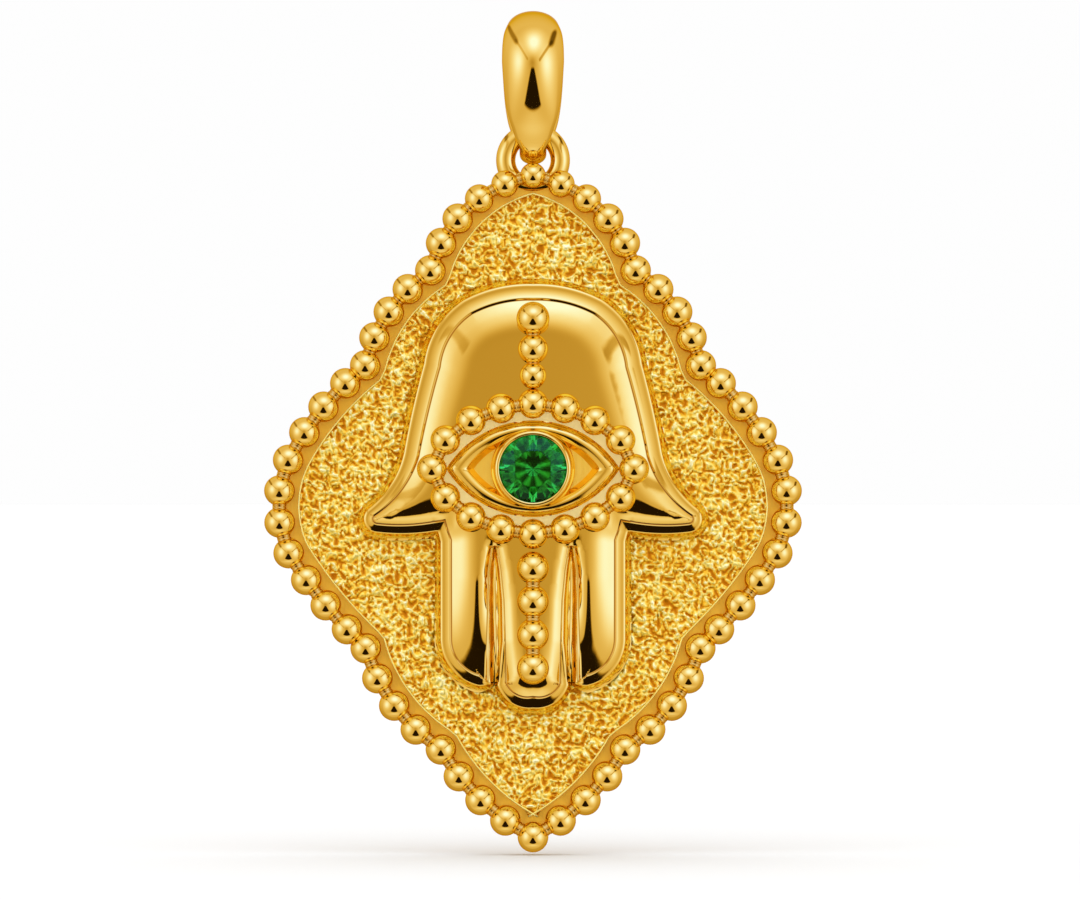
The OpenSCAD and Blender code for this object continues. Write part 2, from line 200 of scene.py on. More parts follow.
def makeGreenStone():
    look = stoneLook
    material, bench, shader, place = startFinish(
        "green stone", {"Metallic": 0.0, "Roughness": 0.0, "IOR": look["ior"],
                        "Transmission Weight": 1.0, "Specular Tint": look["shine"]})
    cloud = addNoise(bench, place, *look["cloud"])
    # painted reflections: light and dark petals as the cut's facets would mirror them, the other
    # way round outside the table
    x, z = (bench.add("ShaderNodeSeparateXYZ", None, {0: place}, output=k) for k in (0, 2))
    x, z = x / look["radius"], (z - look["middle"]) / look["radius"]
    turn = x.maths("ARCTAN2", x, z) * (look["petals"] / 2)
    petal = bench.between(abs(turn.maths("SINE", turn)), *look["petalEdge"])
    outside = bench.between((x * x + z * z) ** 0.5, look["table"] - look["tableEdge"],
                            look["table"] + look["tableEdge"])
    petal = petal + outside - 2 * petal * outside
    light = (look["petalShare"] * petal
             + look["cloudShare"] * bench.between(cloud, *look["cloudEdge"]) - look["darker"])
    feed(bench, shader, "Base Color", bench.mixColour(light, look["deep"], look["colour"]))
    return material


polishedGold = makeGold("polished gold", polishedLook)
texturedGold = makeGold("textured gold", texturedLook)
satinGold = makeGold("satin gold", satinLook)
recessGold = makeGold("recess gold", recessLook)
eyeHighlightGold = makeGold("satin gold with painted highlight", eyeHighlightLook)
greenStone = makeGreenStone()
print("stage: finishes made")


def lookUp(x, table):
    # straight between the table's rows, level past its ends
    if x <= table[0][0]:
        return table[0][1]
    for (a, va), (b, vb) in zip(table, table[1:]):
        if x <= b:
            return va + (vb - va) * (x - a) / (b - a)
    return table[-1][1]


def arcPoints(start, end, step):
    # points on an arc from one row up to the next, with the other columns blended
    chord = math.dist(start[:2], end[:2])
    bow = start[2]
    count = max(1, math.ceil(chord / step))
    ax, ay = (end[0] - start[0]) / chord, (end[1] - start[1]) / chord
    radius = (chord * chord / 4 + bow * bow) / (2 * abs(bow)) if bow else 0
    points = []
    for i in range(count):
        t = i / count
        lift = 0
        if bow:
            lift = math.sqrt(radius ** 2 - ((t - 0.5) * chord) ** 2) - radius + abs(bow)
            lift = math.copysign(lift, bow)
        place = [start[0] + ax * t * chord - ay * lift, start[1] + ay * t * chord + ax * lift]
        points.append(place + [a + (b - a) * t for a, b in zip(start[2:], end[2:])])
    return points


def halfOutline(rows, step):
    return [p for a, b in zip(rows, rows[1:]) for p in arcPoints(a, b, step)] + [list(rows[-1])]


def withLeftHalf(half):
    return half + [[-p[0]] + list(p[1:]) for p in half[-2:0:-1]]


def outward(line, i):
    # way out of a closed clockwise outline, longer at corners
    before, here, after = line[i - 1], line[i], line[(i + 1) % len(line)]
    a = Vector((here[0] - before[0], here[1] - before[1])).normalized()
    b = Vector((after[0] - here[0], after[1] - here[1])).normalized()
    na, nb = Vector((-a.y, a.x)), Vector((-b.y, b.x))
    return (na + nb) / max(1 + na.dot(nb), 0.8)


def moved(line, shifts):
    return [(p[0] + o.x * s, p[1] + o.y * s)
            for p, s, o in zip(line, shifts, [outward(line, i) for i in range(len(line))])]


def placesAlong(line, shares):
    lengths = [0.0]
    for p, q in zip(line, line[1:]):
        lengths.append(lengths[-1] + math.dist(p, q))
    xs = [(s, p[0]) for s, p in zip(lengths, line)]
    ys = [(s, p[1]) for s, p in zip(lengths, line)]
    return [(lookUp(lengths[-1] * share, xs), lookUp(lengths[-1] * share, ys)) for share in shares]


def startRing(bm, points):
    # a closed loop of edges through the points
    verts = [bm.verts.new(p) for p in points]
    for pair in zip(verts, verts[1:] + verts[:1]):
        bm.edges.new(pair)
    return verts


def loopEdges(bm, ring):
    return [bm.edges.get(pair) for pair in zip(ring, ring[1:] + ring[:1])]


def growRing(bm, ring, points):
    # extrudes a loop of vertices and puts its copy at the points
    made = bmesh.ops.extrude_edge_only(bm, edges=loopEdges(bm, ring))["geom"]
    fresh = {v for v in made if isinstance(v, bmesh.types.BMVert)}
    twins = []
    for vert, point in zip(ring, points):
        twin = next(e.other_vert(vert) for e in vert.link_edges if e.other_vert(vert) in fresh)
        twin.co = point
        twins.append(twin)
    return twins


def raised(points, height):
    return [(p[0], p[1], height) for p in points]


def sliceFace(bm, face, step):
    # cuts a flat face into a square grid
    xs, ys = [v.co.x for v in face.verts], [v.co.y for v in face.verts]
    geom = [face] + list(face.edges) + list(face.verts)
    for low, high, way in ((min(xs), max(xs), (1, 0, 0)), (min(ys), max(ys), (0, 1, 0))):
        cuts = int((high - low) / step)
        for k in range(1, cuts + 1):
            place = low + (high - low) * (k - 0.5) / cuts
            geom = bmesh.ops.bisect_plane(bm, geom=geom, dist=1e-5, plane_no=way,
                                          plane_co=[c * place for c in way])["geom"]
    return [f for f in geom if isinstance(f, bmesh.types.BMFace)]


def placeMesh(name, bm, material):
    mesh = bpy.data.meshes.new(name)
    bm.to_mesh(mesh)
    bm.free()
    mesh.materials.append(material)
    made = bpy.data.objects.new(name, mesh)
    bpy.context.scene.collection.objects.link(made)
    return made


def finishPiece(name, bm, material, body, nodes, flat=False, merge=0.0004):
    bmesh.ops.remove_doubles(bm, verts=bm.verts, dist=merge)
    bmesh.ops.recalc_face_normals(bm, faces=bm.faces)
    bmesh.ops.rotate(bm, verts=bm.verts, cent=(0, 0, 0),
                     matrix=Matrix.Rotation(math.pi / 2, 3, "X"))
    bmesh.ops.scale(bm, verts=bm.verts, vec=(0.001, 0.001, 0.001))
    for face in bm.faces:
        face.smooth = not flat
    piece = placeMesh(name, bm, material)
    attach(piece, body)
    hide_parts(*nodes)
    print("piece:", name, len(piece.data.polygons), "faces")
    return piece


bailShape = {
    "axis": -4.54, "lowRadius": 0.98, "lowEnd": 62.0, "halfDepth": 2.07, "widest": -1.55,
    "lowPull": 1.7, "highPull": 0.8, "lowSteps": 12, "legSteps": 28, "highSteps": 32,
    "innerSteps": 20, "crownSteps": 44, "edge": 0.6, "innerCorner": 0.35, "innerFlat": 0.4,
    # height, half the width in front and behind, half the thickness, how oval the section
    # is, and how far its round outside comes to a soft crest
    "rows": [(-5.30, 0.61, 0.61, 0.46, 1, 0), (-5.20, 0.61, 0.61, 0.46, 1, 0),
             (-4.86, 0.78, 0.80, 0.46, 1, 0), (-4.45, 0.92, 1.01, 0.47, 1, 0),
             (-3.90, 1.10, 1.17, 0.52, 0.9, 0.2), (-3.05, 1.28, 1.30, 0.60, 0.4, 0.7),
             (-1.50, 1.40, 1.40, 0.65, 0, 1), (-0.80, 1.40, 1.40, 0.64, 0, 0.9),
             (-0.32, 1.38, 1.38, 0.61, 0, 0.6), (0.14, 1.32, 1.32, 0.55, 0, 0.2),
             (0.50, 1.18, 1.18, 0.50, 0, 0)],
}


def eased(x, column):
    # value of a column of the bail's rows on a smooth curve through them
    rows = bailShape["rows"]
    if x <= rows[0][0]:
        return rows[0][column]
    if x >= rows[-1][0]:
        return rows[-1][column]
    i = max(k for k in range(len(rows) - 1) if rows[k][0] <= x)
    a, b = rows[i], rows[i + 1]
    before, after = rows[max(i - 1, 0)], rows[min(i + 2, len(rows) - 1)]
    span = b[0] - a[0]
    slopeA = (b[column] - before[column]) / (b[0] - before[0]) * span
    slopeB = (after[column] - a[column]) / (after[0] - a[0]) * span
    t = (x - a[0]) / span
    return ((2 * t ** 3 - 3 * t ** 2 + 1) * a[column] + (t ** 3 - 2 * t ** 2 + t) * slopeA
            + (3 * t ** 2 - 2 * t ** 3) * b[column] + (t ** 3 - t ** 2) * slopeB)


def bailMiddleLine():
    # depth towards the back and height, from the bottom up the front and down the back
    s = bailShape
    top = s["rows"][-1][3]

    def low(turn):
        return Vector((-s["lowRadius"] * math.sin(turn),
                       s["axis"] - s["lowRadius"] * math.cos(turn)))

    end = math.radians(s["lowEnd"])
    p, q = low(end), Vector((-s["halfDepth"], s["widest"]))
    pHand = p + s["lowPull"] * Vector((-math.cos(end), math.sin(end)))
    qHand = q - Vector((0, s["highPull"]))
    front = [low(end * k / s["lowSteps"]) for k in range(s["lowSteps"])]
    for k in range(s["legSteps"]):
        t = k / s["legSteps"]
        front.append((1 - t) ** 3 * p + 3 * (1 - t) ** 2 * t * pHand + 3 * (1 - t) * t * t * qHand
                     + t ** 3 * q)
    for k in range(s["highSteps"] + 1):
        turn = math.pi / 2 * k / s["highSteps"]
        front.append(Vector((-s["halfDepth"] * math.cos(turn),
                             s["widest"] + (top - s["widest"]) * math.sin(turn))))
    return front + [Vector((-p.x, p.y)) for p in front[-2:0:-1]]


def bailSection(oval, crest):
    # clockwise, across and through the metal: the inner face, then the round outside
    s = bailShape
    points = []
    for k in range(1, s["innerSteps"]):
        turn = math.pi * k / s["innerSteps"]
        c, n = math.cos(turn), math.sin(turn)
        flat = (math.copysign(abs(c) ** s["innerCorner"], c),
                -s["edge"] - (1 - s["edge"]) * n ** s["innerFlat"])
        points.append((flat[0] + (c - flat[0]) * oval, flat[1] + (-n - flat[1]) * oval))
    for k in range(s["crownSteps"] + 1):
        turn = math.pi * (1 - k / s["crownSteps"])
        c, n = math.cos(turn), math.sin(turn)
        rise = n + ((n + n * n) / 2 - n) * crest
        crown = -s["edge"] + (1 + s["edge"]) * rise
        points.append((c, crown + (n - crown) * oval))
    return points


def makeBail():
    bm = bmesh.new()
    path = bailMiddleLine()
    first = ring = None
    for i, p in enumerate(path):
        along = (path[(i + 1) % len(path)] - path[i - 1]).normalized()
        out = Vector((-along.y, along.x))
        halfWidth = eased(p.y, 2 if p.x > 0 else 1)
        halfThick = eased(p.y, 3)
        points = [(halfWidth * across, p.y + out.y * halfThick * through,
                   -p.x - out.x * halfThick * through)
                  for across, through in bailSection(eased(p.y, 4), eased(p.y, 5))]
        if ring is None:
            first = ring = startRing(bm, points)
        else:
            ring = growRing(bm, ring, points)
    bmesh.ops.bridge_loops(bm, edges=loopEdges(bm, first) + loopEdges(bm, ring))
    finishPiece("bail", bm, polishedGold, "bail", ["bail"])


ringShape = {"middle": -5.78, "radius": 1.24, "wire": 0.88, "across": 28, "round": 80}


def spinProfile(bm, profile, steps):
    # turns a line of (distance from the axis, height) points once round the axis
    verts = [bm.verts.new((p[0], 0, p[1])) for p in profile]
    edges = [bm.edges.new(pair) for pair in zip(verts, verts[1:])]
    bmesh.ops.spin(bm, geom=verts + edges, cent=(0, 0, 0), axis=(0, 0, 1),
                   angle=2 * math.pi, steps=steps, use_merge=True)


def makeHangingRing():
    s = ringShape
    bm = bmesh.new()
    turns = [2 * math.pi * k / s["across"] for k in range(s["across"] + 1)]
    spinProfile(bm, [(s["radius"] + s["wire"] / 2 * math.cos(turn),
                      s["wire"] / 2 * math.sin(turn)) for turn in turns], s["round"])
    bmesh.ops.translate(bm, verts=bm.verts, vec=(0, s["middle"], 0))
    finishPiece("hangingRing", bm, polishedGold, "pendant", ["hanging_ring"])


makeBail()
makeHangingRing()
print("stage: bail and ring")


borderShape = {
    # right half of the line of the bead middles: place and bow of the arc to the next row
    "line": [(0, -6.50, 0.92), (4.66, -10.84, 0.50), (7.61, -15.14, 0.27), (11.05, -19.30, 0.49),
             (11.05, -23.68, 0.18), (7.59, -27.91, 0.52), (4.20, -32.48, 0.43), (0, -36.50, 0)],
    "shares": [(0, 0), (9, 0.307), (10, 0.338), (19, 0.671), (20, 0.702), (28, 1)],
    "bead": 1.40, "topBead": 1.16, "crowd": 0.525, "lineStep": 0.05,
}
beadLine = [p[:2] for p in halfOutline(borderShape["line"], borderShape["lineStep"])]
lastBead = borderShape["shares"][-1][0]
borderBeads = withLeftHalf(placesAlong(beadLine, [lookUp(k, borderShape["shares"])
                                                  for k in range(lastBead + 1)]))
sizesFromTop = [(0, borderShape["topBead"]), (3, borderShape["bead"])]


def borderRadius(i):
    count = len(borderBeads)
    gap = max(math.dist(borderBeads[i], borderBeads[i - 1]),
              math.dist(borderBeads[i], borderBeads[(i + 1) % count]))
    return min(lookUp(min(i, count - i), sizesFromTop) / 2, borderShape["crowd"] * gap)


def edgeOutline(shiftOf, perGap):
    # the beads' line with points at even distances, moved outward
    steps = perGap * lastBead
    line = withLeftHalf(placesAlong(beadLine, [k / steps for k in range(steps + 1)]))
    count = len(line)
    return moved(line, [shiftOf(lookUp(min(i, count - i) / perGap, sizesFromTop) / 2)
                        for i in range(count)])


beadShape = {
    "segments": 36, "bands": 20, "seat": 0.88, "merge": 0.00001,
    # radius and place along of a neck between beads of the radius neckFits
    "neck": [(0.20, -0.22), (0.25, -0.15), (0.30, -0.11), (0.315, -0.07), (0.295, -0.03),
             (0.275, 0.0), (0.295, 0.03), (0.315, 0.07), (0.30, 0.11), (0.25, 0.15),
             (0.20, 0.22)],
    "neckFits": 0.69, "neckSteps": 16, "neckShade": 0.45,
}


def addBeads(bm, places, radii, face, closed):
    # joined beads: spheres cut flat on the face below, and a collared neck between each two
    s = beadShape
    middle = face + s["seat"] * max(radii)
    bm.verts.layers.float.new("crease")
    for (x, y), radius in zip(places, radii):
        bmesh.ops.create_uvsphere(bm, u_segments=s["segments"], v_segments=s["bands"],
                                  radius=radius, matrix=Matrix.Translation((x, y, middle)))
    low = bmesh.ops.bisect_plane(bm, geom=bm.verts[:] + bm.edges[:] + bm.faces[:], dist=1e-5,
                                 plane_co=(0, 0, face), plane_no=(0, 0, 1), clear_inner=True)
    rims = [e for e in low["geom_cut"] if isinstance(e, bmesh.types.BMEdge)]
    bmesh.ops.holes_fill(bm, edges=rims)
    following = list(range(1, len(places))) + ([0] if closed else [])
    for i, j in zip(range(len(places)), following):
        addNeck(bm, places[i], places[j], radii[i], radii[j], middle)


def addNeck(bm, p, q, pRadius, qRadius, height):
    s = beadShape
    paintedShade = bm.verts.layers.float["crease"]
    way = Vector((q[0] - p[0], q[1] - p[1], 0))
    # the neck's waist is half way between the two beads' surfaces
    waist = (pRadius + way.length - qRadius) / 2
    size = min(pRadius, qRadius) / s["neckFits"]
    before = set(bm.verts)
    profile = [(r * size, z * size) for r, z in s["neck"]]
    spinProfile(bm, [(0, profile[0][1])] + profile + [(0, profile[-1][1])], s["neckSteps"])
    fresh = [v for v in bm.verts if v not in before]
    # painted shade on the neck between two beads
    for vert in fresh:
        vert[paintedShade] = s["neckShade"]
    turn = Vector((0, 0, 1)).rotation_difference(way.normalized()).to_matrix().to_4x4()
    spot = Vector((p[0], p[1], height)) + way.normalized() * waist
    bmesh.ops.transform(bm, matrix=Matrix.Translation(spot) @ turn, verts=fresh)


def makeBeadString(name, nodes, places, radii, face, closed):
    bm = bmesh.new()
    addBeads(bm, places, radii, face, closed)
    finishPiece(name, bm, polishedGold, "pendant", nodes,
                merge=beadShape["merge"])


def makeBeadBorder():
    makeBeadString("beadBorder", ["bead_border_right", "bead_border_left"], borderBeads,
                   [borderRadius(i) for i in range(len(borderBeads))], heights["panelBack"], True)


plateShape = {"lip": 0.3, "perGap": 5, "edge": 0.12, "edgeSteps": 4, "sharp": 30}


def makeBackPlate():
    bm = bmesh.new()
    outline = edgeOutline(lambda radius: plateShape["lip"], plateShape["perGap"])
    foot = startRing(bm, raised(outline, -heights["plateFace"]))
    face = bmesh.ops.contextual_create(bm, geom=foot)
    slab = bmesh.ops.extrude_face_region(bm, geom=face["faces"])
    top = [v for v in slab["geom"] if isinstance(v, bmesh.types.BMVert)]
    bmesh.ops.translate(bm, verts=top, vec=(0, 0, 2 * heights["plateFace"]))
    bmesh.ops.recalc_face_normals(bm, faces=bm.faces)
    rims = [e for e in bm.edges if abs(e.verts[0].co.z - e.verts[1].co.z) < 1e-6]
    bmesh.ops.bevel(bm, geom=rims, affect="EDGES", offset=plateShape["edge"], offset_type="OFFSET",
                    segments=plateShape["edgeSteps"], profile=0.5, material=-1)
    piece = finishPiece("backPlate", bm, satinGold, "pendant", ["back_plate"])
    piece.data.materials.append(recessGold)
    # the front is the ledge behind the beads
    for face in piece.data.polygons:
        face.material_index = 1 if face.normal.y < -0.9 else 0
    keepFlat(piece, plateShape["sharp"])


def keepFlat(piece, degrees):
    # sharp edges stay sharp in shading
    piece.data.set_sharp_from_angle(angle=math.radians(degrees))


panelShape = {
    "margin": 0.17, "perGap": 6, "grid": 0.36, "cuts": 5, "depth": 0.20,
    # the lip along the edge, which gets a painted highlight: how far in, and how far below the face
    "lip": [(0, 0.06), (0.02, 0.02), (0.05, 0), (0.075, 0.015)],
    # the lip's tone is a painted highlight, the wall's tone painted shade
    "lipWidth": 0.10, "lipFoot": 0.6, "lipHighlight": 0.8, "lipFrom": 0.03, "wallShade": 0.25,
    # the curly grain: how it is warped, its scales, how steep it is, and shares of the parts
    "warpScale": 2.3, "warp": 0.20, "warpSlice": 3.1, "curls": 3.3, "curlSlope": 3.0,
    "cells": 4.2, "cellSlope": 2.2, "fine": 7.5, "fineSlice": 7,
    "shares": (0.45, 0.35, 0.35), "lower": 0.06, "contrast": 1.7, "seed": 5,
    # half width of the hand at each depth below the bail's top, where no grain is seen
    "covered": [(11.9, 0.0), (12.6, 2.0), (15.0, 4.2), (19.0, 5.2), (21.0, 5.9), (22.3, 6.6),
                (22.4, 3.6), (27.5, 3.5), (29.0, 2.2), (30.2, 0.0)],
}


def nuggets(x, y):
    # height of the panel's curly grain, 0 to 1
    s = panelShape
    warp = noise.noise_vector(Vector((x * s["warpScale"], y * s["warpScale"], s["warpSlice"])))
    spot = Vector((x, y, 0)) + warp * s["warp"]
    curls = 1 - min(1, abs(noise.noise(spot * s["curls"])) * s["curlSlope"])
    spots, _ = noise.voronoi(spot * s["cells"])
    cells = min(1, (spots[1] - spots[0]) * s["cellSlope"])
    fine = noise.noise(Vector((x, y, s["fineSlice"])) * s["fine"]) * 0.5 + 0.5
    curlShare, cellShare, fineShare = s["shares"]
    height = curlShare * curls + cellShare * cells + fineShare * fine - s["lower"]
    return max(0.0, min(1.0, 0.5 + (height - 0.5) * s["contrast"]))


def underHand(x, y):
    return abs(x) < lookUp(-y, panelShape["covered"])


def makeTexturedPanel():
    s = panelShape
    # noise_vector follows the clock unless it is given a seed
    noise.seed_set(s["seed"])
    bm = bmesh.new()
    face = heights["panelFace"]
    low = face - s["depth"] * s["lipFoot"]

    def inset(further):
        return edgeOutline(lambda radius: -radius - s["margin"] - further, s["perGap"])

    ring = startRing(bm, raised(inset(0), heights["panelBack"]))
    bmesh.ops.contextual_create(bm, geom=ring)
    for further, drop in s["lip"]:
        ring = growRing(bm, ring, raised(inset(further), face - drop))
    ring = growRing(bm, ring, raised(inset(s["lipWidth"]), low))
    floor = bmesh.ops.contextual_create(bm, geom=ring)["faces"][0]
    cells = sliceFace(bm, floor, s["grid"])
    cut = [f for f in cells if len(f.verts) != 4]
    cells = [f for f in cells if len(f.verts) == 4]
    cells += bmesh.ops.triangulate(bm, faces=cut, ngon_method="BEAUTY")["faces"]
    seen = {e for f in cells for e in f.edges if not underHand(*f.calc_center_median().xy)}
    # taken in the mesh's own order, so that every run makes the same faces
    bmesh.ops.subdivide_edges(bm, edges=[e for e in bm.edges if e in seen], cuts=s["cuts"],
                              use_grid_fill=True)
    crest = bm.verts.layers.float.new("crest")
    for vert in bm.verts:
        # the crest layer carries painted light: a painted highlight on the lip, painted shade on
        # the wall
        vert[crest] = s["lipHighlight"] if vert.co.z > face - s["lipFrom"] else s["wallShade"]
        # the face inside the lip is grained, its edge along the lip stays
        if abs(vert.co.z - low) < 1e-4 and all(abs(f.normal.z) > 0.9 for f in vert.link_faces):
            grain = nuggets(vert.co.x, vert.co.y)
            # the grain's height sets painted shade in its pits and a painted highlight on its
            # crests
            vert[crest] = grain
            vert.co.z = face - s["depth"] * (1 - grain)
    finishPiece("texturedPanel", bm, texturedGold, "pendant", ["textured_panel"])


makeBackPlate()
makeTexturedPanel()
makeBeadBorder()
print("stage: plate, panel and border")


eyeBeadShape = {"halfWidth": 4.57, "halfHeight": 2.94, "power": 1.8, "count": 16, "radius": 0.68}
handShape = {
    # right half: place, bow of the arc to the next row, spread of the side wall, width of
    # the sloping rim, reach of the swelling inside it, and how long the swelling stays steep
    "rows": [(0, -11.41, 0.21, 0.22, 0.75, 1.50, 2.2), (3.14, -12.14, 0.38, 0.22, 0.75, 1.50, 2.2),
             (4.95, -15.05, 0.05, 0.22, 0.75, 1.40, 2.2),
             (5.86, -19.09, -0.27, 0.24, 0.70, 1.20, 2.2),
             (7.50, -21.64, 0.32, 0.26, 0.42, 0.60, 2.2),
             (7.18, -22.70, 0.11, 0.30, 0.42, 0.70, 2.5), (4.32, -22.64, 0, 0.24, 0.46, 0.95, 2.5),
             (4.20, -23.09, 0, 0.24, 0.50, 1.10, 3.4), (4.20, -27.50, 0.49, 0.26, 0.50, 1.05, 3.4),
             (2.45, -29.66, 0.03, 0.30, 0.50, 1.05, 3.0), (1.91, -29.55, 0, 0.13, 0.20, 0.42, 2.5),
             (1.93, -25.77, 0, 0.22, 0.12, 0.40, 2.5), (1.89, -24.41, 0, 0.14, 0.11, 0.40, 2.5),
             (1.73, -23.23, 0, 0.04, 0.09, 0.40, 2.5), (1.55, -24.41, 0, 0.14, 0.11, 0.45, 2.5),
             (1.43, -25.77, 0, 0.22, 0.12, 0.55, 2.5), (1.40, -27.60, 0, 0.22, 0.15, 0.65, 2.5),
             (1.62, -29.60, 0.35, 0.13, 0.40, 0.90, 2.2), (0, -30.68, 0, 0.30, 0.55, 1.30, 2.2)],
    "step": 0.1, "clear": 0.93, "wallTop": 1.38,
    # side wall: share of its spread and of its height
    "wall": [(0.6, 0.22), (0.3, 0.52), (0.12, 0.8), (0.04, 0.95)],
    "edgeWidth": 0.13, "edgeRise": 0.10, "edgeSteps": 4, "rimSteps": 9, "rimSlopes": (0.04, 0.46),
    "fullRim": 0.4, "grooveRim": 0.36, "grooveLift": 1.3, "creaseDepth": 0.07,
    "creaseWidth": 0.05, "inner": (0.05, 0.11, 0.19, 0.29), "grid": 0.14, "gridGap": 0.7,
    "level": 1.96, "dome": (0.003, 0.0004), "domeMiddle": -22.0, "smoothing": 6,
    # the outer fingers, from this far out, bow down below this place
    "outer": (1.45, 0.4), "droop": (0.055, 0.010), "droopFrom": -24.8,
    # hollow under the stone: depth and radius; height above which the eye's face gets a painted
    # highlight
    "hollow": (0.4, 1.2), "highlightFrom": 1.5,
    # between the fingers: middle, place along the groove, half width
    "web": [(1.76, -29.45, 0.19), (1.68, -28.5, 0.26), (1.66, -27.6, 0.30), (1.68, -25.77, 0.29),
            (1.72, -24.41, 0.21), (1.73, -23.45, 0.08)],
    # share of the width, height and painted shade of its shoulders and its ridge
    "webSteps": [(1, 1.46, 0.25), (0.2, 1.62, 0)],
}


def insideOf(points, loop):
    # which points lie in the closed loop, and how far each is from it, with the place on the
    # loop that is nearest
    a, b = loop, np.roll(loop, -1, axis=0)
    step = b - a
    inside = np.zeros(len(points), bool)
    for (x0, y0), (x1, y1) in zip(a, b):
        if y0 != y1:
            crosses = (points[:, 1] > min(y0, y1)) & (points[:, 1] <= max(y0, y1))
            inside ^= crosses & (points[:, 0] < x0 + (points[:, 1] - y0) * (x1 - x0) / (y1 - y0))
    way = points[:, None, :] - a[None]
    share = np.clip((way * step).sum(2) / (step * step).sum(1), 0, 1)
    gap = np.linalg.norm(way - share[:, :, None] * step, axis=2)
    return inside, gap, share


def swell(points, loop, levels, reaches, powers):
    # height of the palm: the lowest of the swellings that start at each place of its edge
    s = handShape
    found = []
    # in batches, which keeps the tables small
    for part in np.array_split(points, max(1, len(points) // 1500)):
        _, gap, share = insideOf(part, loop)

        def along(values):
            return values[None] + (np.roll(values, -1) - values)[None] * share

        outer = np.clip((np.abs(part[:, 0]) - s["outer"][0]) / s["outer"][1], 0, 1)
        past = np.maximum(0, s["droopFrom"] - part[:, 1])
        droop = (s["droop"][0] * past + s["droop"][1] * past ** 2) * outer
        top = (s["level"] - s["dome"][0] * part[:, 0] ** 2
               - s["dome"][1] * (part[:, 1] - s["domeMiddle"]) ** 2 - droop)[:, None]
        level, power = along(levels), along(powers)
        t = np.minimum(1, gap / along(reaches))
        rise = (t - t ** power / power) / (1 - 1 / power)
        found.append((level + (top - level) * rise).min(axis=1))
    return np.concatenate(found)


def fillWithGrid(bm, ring, step):
    # a square grid inside a flat loop, stitched to the loop with triangles
    loop = np.array([v.co.xy for v in ring])
    low, high = loop.min(axis=0), loop.max(axis=0)
    counts = [int(c) for c in (high - low) / step]
    before = set(bm.verts)
    bmesh.ops.create_grid(bm, x_segments=counts[0], y_segments=counts[1], size=0.5)
    grid = [v for v in bm.verts if v not in before]
    for v in grid:
        v.co = (low[0] + (v.co.x + 0.5) * (high[0] - low[0]),
                low[1] + (v.co.y + 0.5) * (high[1] - low[1]), ring[0].co.z)
    places = np.array([v.co.xy for v in grid])
    good, ofGrid = set(), set(grid)
    for part, verts in zip(np.array_split(places, 20), np.array_split(np.arange(len(grid)), 20)):
        inside, gap, _ = insideOf(part, loop)
        good |= {grid[i] for i in verts[inside & (gap.min(axis=1) > handShape["gridGap"] * step)]}
    outside = [f for f in bm.faces if ofGrid.issuperset(f.verts) and not good.issuperset(f.verts)]
    bmesh.ops.delete(bm, geom=outside, context="FACES")
    for v in [v for v in bm.verts if v not in before and not v.link_faces]:
        bm.verts.remove(v)
    kept = [v for v in bm.verts if v not in before]
    ofGrid = set(kept)
    rim = [e for e in bm.edges if len(e.link_faces) == 1 and e.verts[0] in ofGrid]
    bmesh.ops.triangle_fill(bm, use_beauty=True, edges=rim + loopEdges(bm, ring),
                            normal=(0, 0, 1))
    return kept


def settled(points, outline, depths):
    # offset points that ran past a corner go back in line between their neighbours
    _, gap, _ = insideOf(np.array(points), np.array(outline))
    count = len(points)
    good = [i for i in range(count) if gap[i].min() > handShape["clear"] * abs(depths[i]) - 1e-6]
    placed = list(points)
    for a, b in zip(good, good[1:] + [good[0] + count]):
        p, q = points[a % count], points[b % count]
        for i in range(a + 1, b):
            t = (i - a) / (b - a)
            placed[i % count] = (p[0] + (q[0] - p[0]) * t, p[1] + (q[1] - p[1]) * t)
    return placed


def addWeb(bm, side, paintedShade):
    # metal that joins two fingers low in the groove between them, with a ridge along it
    rows = handShape["web"]

    def outline(share, height):
        return [(side * (c - share * w), y, height) for c, y, w in rows] + [
            (side * (c + share * w), y, height) for c, y, w in rows[::-1]]

    ring = startRing(bm, outline(1, heights["handBack"]))
    bmesh.ops.contextual_create(bm, geom=ring)
    for share, height, dark in handShape["webSteps"]:
        ring = growRing(bm, ring, outline(share, height))
        # painted shade on the shoulders low in the groove
        for vert in ring:
            vert[paintedShade] = dark
    bmesh.ops.contextual_create(bm, geom=ring)


